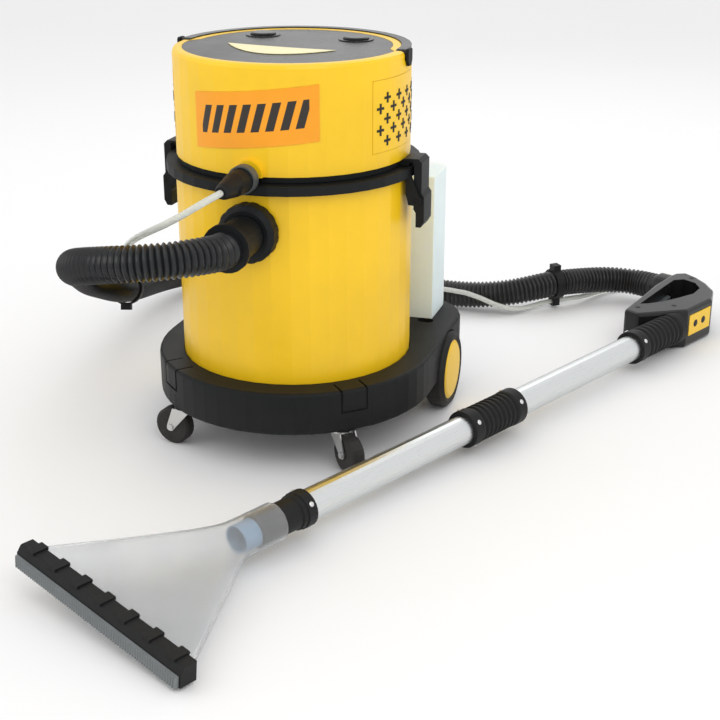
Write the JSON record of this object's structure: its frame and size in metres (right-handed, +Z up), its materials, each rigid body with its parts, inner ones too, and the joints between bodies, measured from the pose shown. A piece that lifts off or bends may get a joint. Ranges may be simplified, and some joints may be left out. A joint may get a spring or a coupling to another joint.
{
  "type": "carpet cleaner machine",
  "caption": "Spray extraction carpet cleaner: wheeled drum under a motor head, with a ribbed suction hose, a clear spray tube and a steel floor wand with a wide nozzle.",
  "frame": {"origin": "under the middle of the machine and wand together, on the floor", "axes": "+Z up, -Y towards the front, where the hose inlet and the casters are; +X to the machine's right side, where the wand lies"},
  "size_m": [0.9016, 1.3077, 0.5053],
  "materials": {
    "yellow_shell": "satin moulded shell",
    "black_plastic": "fine grained moulding",
    "grey_plastic": "plain moulding",
    "steel": "drawn and polished",
    "tread": "worn tread",
    "hose_vinyl": "ribbed, slightly glossy",
    "clear_vinyl": "milky tubing",
    "clear_plastic": "smoky translucent moulding",
    "printed_card": "smooth",
    "filter_cloth": "felt"
  },
  "bodies": {
    "machine": {"base_tray": "black_plastic", "rear_axle": "steel", "drum": "yellow_shell", "drum_ring": "black_plastic", "inlet_fitting": "black_plastic", "suction_hose": "hose_vinyl", "spray_tube": "clear_vinyl", "hose_clip_left": "black_plastic", "hose_clip_right": "black_plastic", "spray_plug": "black_plastic", "wand_handle": "black_plastic", "handle_panel": "yellow_shell", "upper_sleeve": "black_plastic", "upper_tube": "steel", "middle_sleeve": "black_plastic", "lower_tube": "steel", "lower_adaptor": "black_plastic", "nozzle_shell": "clear_plastic", "nozzle_bar": "black_plastic", "brush_strip": "grey_plastic"},
    "head": {"head_shell": "yellow_shell", "head_base": "black_plastic", "vent_grille_left": "yellow_shell", "vent_grille_right": "yellow_shell", "top_panel": "black_plastic", "crescent_plate": "printed_card", "carry_pivot_left": "black_plastic", "carry_pivot_right": "black_plastic", "motor": "grey_plastic", "pump": "black_plastic", "float_cage": "black_plastic", "filter_sleeve": "filter_cloth", "coupling_socket": "black_plastic", "tank_feed_fitting": "black_plastic", "cable_gland": "black_plastic"},
    "switch_left": {"switch_left": "black_plastic"},
    "switch_right": {"switch_right": "black_plastic"},
    "bail": {"carry_handle": "black_plastic"},
    "rotor": {"turbine": "steel"},
    "float": {"float_ball": "printed_card"},
    "collar": {"coupling_collar": "grey_plastic"},
    "latch_left": {"latch_left": "black_plastic"},
    "latch_right": {"latch_right": "black_plastic"},
    "ring_nut": {"inlet_ring_nut": "black_plastic"},
    "cuff": {"hose_cuff": "black_plastic"},
    "caster_left": {"caster_fork_left": "steel", "caster_axle_left": "steel"},
    "caster_right": {"caster_fork_right": "steel", "caster_axle_right": "steel"},
    "caster_wheel_left": {"caster_wheel_left": "tread"},
    "caster_wheel_right": {"caster_wheel_right": "tread"},
    "wheel_left": {"rear_tyre_left": "tread", "rear_hub_left": "yellow_shell"},
    "wheel_right": {"rear_tyre_right": "tread", "rear_hub_right": "yellow_shell"},
    "tank": {"solution_tank": "clear_plastic", "feed_tube": "clear_vinyl"},
    "cap": {"tank_cap": "black_plastic"},
    "trigger": {"spray_trigger": "grey_plastic"},
    "button": {"plug_button": "black_plastic"}
  },
  "joints": [
    {"name": "head_lift", "type": "slide", "parent": "machine", "child": "head", "axis": [0, 0, 1], "range_m": [0, 0.2]},
    {"name": "latch_left_swing", "type": "hinge", "parent": "machine", "child": "latch_left", "pos_m": [-0.3265, 0.0082, 0.322], "axis": [0, -1, 0], "range_deg": [0, 14]},
    {"name": "latch_right_swing", "type": "hinge", "parent": "machine", "child": "latch_right", "pos_m": [0.0095, 0.0082, 0.322], "axis": [0, 1, 0], "range_deg": [0, 14]},
    {"name": "bail_lift", "type": "hinge", "parent": "head", "child": "bail", "pos_m": [-0.1585, 0.0082, 0.497], "axis": [1, 0, 0], "range_deg": [0, 90]},
    {"name": "switch_left_press", "type": "slide", "parent": "head", "child": "switch_left", "axis": [0, 0, -1], "range_m": [0, 0.003], "stiffness_N_per_m": 300, "springref_m": -0.002},
    {"name": "switch_right_press", "type": "slide", "parent": "head", "child": "switch_right", "axis": [0, 0, -1], "range_m": [0, 0.003], "stiffness_N_per_m": 300, "springref_m": -0.002},
    {"name": "rotor_spin", "type": "hinge", "parent": "head", "child": "rotor", "pos_m": [-0.1585, 0.0082, 0.38], "axis": [0, 0, 1], "continuous": true},
    {"name": "float_rise", "type": "slide", "parent": "head", "child": "float", "axis": [0, 0, 1], "range_m": [0, 0.03]},
    {"name": "collar_pull", "type": "slide", "parent": "head", "child": "collar", "axis": [0, -1, 0], "range_m": [0, 0.004], "stiffness_N_per_m": 300, "springref_m": -0.002},
    {"name": "ring_nut_turn", "type": "hinge", "parent": "machine", "child": "ring_nut", "pos_m": [-0.1585, -0.1418, 0.3045], "axis": [0, -1, 0], "range_deg": [0, 270]},
    {"name": "cuff_turn", "type": "hinge", "parent": "machine", "child": "cuff", "pos_m": [-0.1585, -0.1718, 0.3045], "axis": [0, -1, 0], "continuous": true},
    {"name": "caster_left_swivel", "type": "hinge", "parent": "machine", "child": "caster_left", "pos_m": [-0.265, -0.1218, 0.06], "axis": [0, 0, 1], "continuous": true},
    {"name": "caster_right_swivel", "type": "hinge", "parent": "machine", "child": "caster_right", "pos_m": [-0.052, -0.1218, 0.06], "axis": [0, 0, 1], "continuous": true},
    {"name": "caster_wheel_left_roll", "type": "hinge", "parent": "caster_left", "child": "caster_wheel_left", "pos_m": [-0.28285, -0.11945, 0.025], "axis": [-0.1305, -0.9914, 0], "continuous": true},
    {"name": "caster_wheel_right_roll", "type": "hinge", "parent": "caster_right", "child": "caster_wheel_right", "pos_m": [-0.03821, -0.13337, 0.025], "axis": [0.6428, 0.766, 0], "continuous": true},
    {"name": "wheel_left_roll", "type": "hinge", "parent": "machine", "child": "wheel_left", "pos_m": [-0.3375, 0.1082, 0.053], "axis": [1, 0, 0], "continuous": true},
    {"name": "wheel_right_roll", "type": "hinge", "parent": "machine", "child": "wheel_right", "pos_m": [0.0205, 0.1082, 0.053], "axis": [1, 0, 0], "continuous": true},
    {"name": "tank_lift", "type": "slide", "parent": "machine", "child": "tank", "axis": [0, 0, 1], "range_m": [0, 0.07]},
    {"name": "cap_turn", "type": "hinge", "parent": "tank", "child": "cap", "pos_m": [-0.2085, 0.2002, 0.32], "axis": [0, 0, 1], "range_deg": [0, 270]},
    {"name": "trigger_squeeze", "type": "hinge", "parent": "machine", "child": "trigger", "pos_m": [0.25868, 0.49583, 0.035], "axis": [0, 0, 1], "range_deg": [0, 5], "stiffness_Nm_per_rad": 0.5, "springref_deg": -2.86},
    {"name": "button_press", "type": "slide", "parent": "machine", "child": "button", "axis": [-0.9397, 0, 0.342], "range_m": [0, 0.0014], "stiffness_N_per_m": 300, "springref_m": -0.002}
  ]
}
